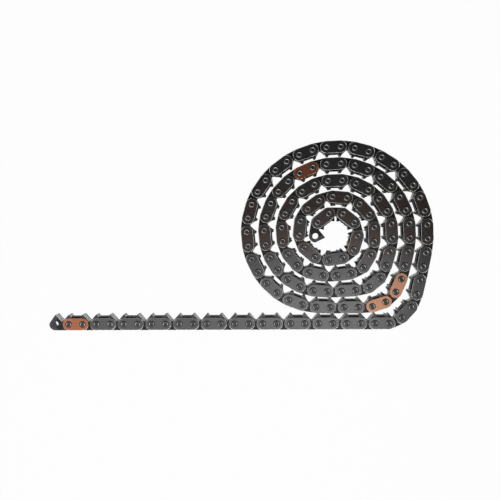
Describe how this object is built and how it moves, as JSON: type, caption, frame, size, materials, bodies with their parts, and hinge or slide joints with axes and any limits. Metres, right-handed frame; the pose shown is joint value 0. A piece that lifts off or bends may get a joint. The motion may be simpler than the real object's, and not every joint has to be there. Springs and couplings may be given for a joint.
{
  "type": "timing chain",
  "caption": "Inverted-tooth timing chain laid down as a flat coil with a straight tail: laced toothed plates between round-ended side plates on riveted pins, with copper timing marks.",
  "frame": {"origin": "axis of the open hole at the free end of the tail, halfway through the chain's width", "axes": "+X along the tail towards the coil, +Y towards the teeth, +Z along the pins towards the camera"},
  "size_m": [0.2208, 0.1077, 0.0114],
  "materials": {
    "side_plate": "tumbled, dark heat-treated steel",
    "toothed_plate": "tumbled, dark heat-treated steel",
    "pin": "bright steel, riveted ends",
    "copper_plate": "copper-plated steel, dulled"
  },
  "bodies": {
    "coil": {"coil_side_plates": "side_plate", "coil_marked_side_plates": "copper_plate", "coil_toothed_plates": "toothed_plate", "coil_inner_link_plates": "toothed_plate", "coil_pins": "pin"},
    "guide_link_01": {"guide_link_01_side_plates": "copper_plate", "guide_link_01_toothed_plates": "toothed_plate", "guide_link_01_pins": "pin"},
    "guide_link_02": {"guide_link_02_side_plates": "side_plate", "guide_link_02_toothed_plates": "toothed_plate", "guide_link_02_pins": "pin"},
    "guide_link_03": {"guide_link_03_side_plates": "side_plate", "guide_link_03_toothed_plates": "toothed_plate", "guide_link_03_pins": "pin"},
    "guide_link_04": {"guide_link_04_side_plates": "side_plate", "guide_link_04_toothed_plates": "toothed_plate", "guide_link_04_pins": "pin"},
    "guide_link_05": {"guide_link_05_side_plates": "side_plate", "guide_link_05_toothed_plates": "toothed_plate", "guide_link_05_pins": "pin"},
    "guide_link_06": {"guide_link_06_side_plates": "side_plate", "guide_link_06_toothed_plates": "toothed_plate", "guide_link_06_pins": "pin"},
    "guide_link_07": {"guide_link_07_side_plates": "side_plate", "guide_link_07_toothed_plates": "toothed_plate", "guide_link_07_pins": "pin"},
    "guide_link_08": {"guide_link_08_side_plates": "side_plate", "guide_link_08_toothed_plates": "toothed_plate", "guide_link_08_pins": "pin"},
    "guide_link_09": {"guide_link_09_side_plates": "side_plate", "guide_link_09_toothed_plates": "toothed_plate", "guide_link_09_pins": "pin"},
    "guide_link_10": {"guide_link_10_side_plates": "side_plate", "guide_link_10_toothed_plates": "toothed_plate", "guide_link_10_pins": "pin"},
    "guide_link_11": {"guide_link_11_side_plates": "side_plate", "guide_link_11_toothed_plates": "toothed_plate", "guide_link_11_pins": "pin"},
    "guide_link_12": {"guide_link_12_side_plates": "side_plate", "guide_link_12_toothed_plates": "toothed_plate", "guide_link_12_pins": "pin"},
    "inner_link_01": {"inner_link_01_toothed_plates": "toothed_plate"},
    "inner_link_02": {"inner_link_02_toothed_plates": "toothed_plate"},
    "inner_link_03": {"inner_link_03_toothed_plates": "toothed_plate"},
    "inner_link_04": {"inner_link_04_toothed_plates": "toothed_plate"},
    "inner_link_05": {"inner_link_05_toothed_plates": "toothed_plate"},
    "inner_link_06": {"inner_link_06_toothed_plates": "toothed_plate"},
    "inner_link_07": {"inner_link_07_toothed_plates": "toothed_plate"},
    "inner_link_08": {"inner_link_08_toothed_plates": "toothed_plate"},
    "inner_link_09": {"inner_link_09_toothed_plates": "toothed_plate"},
    "inner_link_10": {"inner_link_10_toothed_plates": "toothed_plate"},
    "inner_link_11": {"inner_link_11_toothed_plates": "toothed_plate"},
    "inner_link_12": {"inner_link_12_toothed_plates": "toothed_plate"},
    "inner_link_13": {"inner_link_13_toothed_plates": "toothed_plate"},
    "coil_end_link": {"coil_end_link_plates": "toothed_plate"}
  },
  "joints": [
    {"name": "pin_25_hinge", "type": "hinge", "parent": "coil", "child": "inner_link_13", "pos_m": [0.19931, 0.00324, 0], "axis": [0, 0, -1], "range_deg": [-10, 0]},
    {"name": "pin_24_hinge", "type": "hinge", "parent": "inner_link_13", "child": "guide_link_12", "pos_m": [0.192, 0, 0], "axis": [0, 0, -1], "range_deg": [-10, 0]},
    {"name": "pin_23_hinge", "type": "hinge", "parent": "guide_link_12", "child": "inner_link_12", "pos_m": [0.184, 0, 0], "axis": [0, 0, -1], "range_deg": [-10, 0]},
    {"name": "pin_22_hinge", "type": "hinge", "parent": "inner_link_12", "child": "guide_link_11", "pos_m": [0.176, 0, 0], "axis": [0, 0, -1], "range_deg": [-10, 0]},
    {"name": "pin_21_hinge", "type": "hinge", "parent": "guide_link_11", "child": "inner_link_11", "pos_m": [0.168, 0, 0], "axis": [0, 0, -1], "range_deg": [-10, 0]},
    {"name": "pin_20_hinge", "type": "hinge", "parent": "inner_link_11", "child": "guide_link_10", "pos_m": [0.16, 0, 0], "axis": [0, 0, -1], "range_deg": [-10, 0]},
    {"name": "pin_19_hinge", "type": "hinge", "parent": "guide_link_10", "child": "inner_link_10", "pos_m": [0.152, 0, 0], "axis": [0, 0, -1], "range_deg": [-10, 0]},
    {"name": "pin_18_hinge", "type": "hinge", "parent": "inner_link_10", "child": "guide_link_09", "pos_m": [0.144, 0, 0], "axis": [0, 0, -1], "range_deg": [-10, 0]},
    {"name": "pin_17_hinge", "type": "hinge", "parent": "guide_link_09", "child": "inner_link_09", "pos_m": [0.136, 0, 0], "axis": [0, 0, -1], "range_deg": [-10, 0]},
    {"name": "pin_16_hinge", "type": "hinge", "parent": "inner_link_09", "child": "guide_link_08", "pos_m": [0.128, 0, 0], "axis": [0, 0, -1], "range_deg": [-10, 0]},
    {"name": "pin_15_hinge", "type": "hinge", "parent": "guide_link_08", "child": "inner_link_08", "pos_m": [0.12, 0, 0], "axis": [0, 0, -1], "range_deg": [-10, 0]},
    {"name": "pin_14_hinge", "type": "hinge", "parent": "inner_link_08", "child": "guide_link_07", "pos_m": [0.112, 0, 0], "axis": [0, 0, -1], "range_deg": [-10, 0]},
    {"name": "pin_13_hinge", "type": "hinge", "parent": "guide_link_07", "child": "inner_link_07", "pos_m": [0.104, 0, 0], "axis": [0, 0, -1], "range_deg": [-10, 0]},
    {"name": "pin_12_hinge", "type": "hinge", "parent": "inner_link_07", "child": "guide_link_06", "pos_m": [0.096, 0, 0], "axis": [0, 0, -1], "range_deg": [-10, 0]},
    {"name": "pin_11_hinge", "type": "hinge", "parent": "guide_link_06", "child": "inner_link_06", "pos_m": [0.088, 0, 0], "axis": [0, 0, -1], "range_deg": [-10, 0]},
    {"name": "pin_10_hinge", "type": "hinge", "parent": "inner_link_06", "child": "guide_link_05", "pos_m": [0.08, 0, 0], "axis": [0, 0, -1], "range_deg": [-10, 24]},
    {"name": "pin_09_hinge", "type": "hinge", "parent": "guide_link_05", "child": "inner_link_05", "pos_m": [0.072, 0, 0], "axis": [0, 0, -1], "range_deg": [-10, 24]},
    {"name": "pin_08_hinge", "type": "hinge", "parent": "inner_link_05", "child": "guide_link_04", "pos_m": [0.064, 0, 0], "axis": [0, 0, -1], "range_deg": [-10, 24]},
    {"name": "pin_07_hinge", "type": "hinge", "parent": "guide_link_04", "child": "inner_link_04", "pos_m": [0.056, 0, 0], "axis": [0, 0, -1], "range_deg": [-10, 24]},
    {"name": "pin_06_hinge", "type": "hinge", "parent": "inner_link_04", "child": "guide_link_03", "pos_m": [0.048, 0, 0], "axis": [0, 0, -1], "range_deg": [-10, 24]},
    {"name": "pin_05_hinge", "type": "hinge", "parent": "guide_link_03", "child": "inner_link_03", "pos_m": [0.04, 0, 0], "axis": [0, 0, -1], "range_deg": [-10, 24]},
    {"name": "pin_04_hinge", "type": "hinge", "parent": "inner_link_03", "child": "guide_link_02", "pos_m": [0.032, 0, 0], "axis": [0, 0, -1], "range_deg": [-10, 24]},
    {"name": "pin_03_hinge", "type": "hinge", "parent": "guide_link_02", "child": "inner_link_02", "pos_m": [0.024, 0, 0], "axis": [0, 0, -1], "range_deg": [-10, 24]},
    {"name": "pin_02_hinge", "type": "hinge", "parent": "inner_link_02", "child": "guide_link_01", "pos_m": [0.016, 0, 0], "axis": [0, 0, -1], "range_deg": [-10, 24]},
    {"name": "pin_01_hinge", "type": "hinge", "parent": "guide_link_01", "child": "inner_link_01", "pos_m": [0.008, 0, 0], "axis": [0, 0, -1], "range_deg": [-10, 24]},
    {"name": "coil_end_hinge", "type": "hinge", "parent": "coil", "child": "coil_end_link", "pos_m": [0.15172, 0.05771, 0], "axis": [0, 0, 1], "range_deg": [-6, 6]}
  ]
}
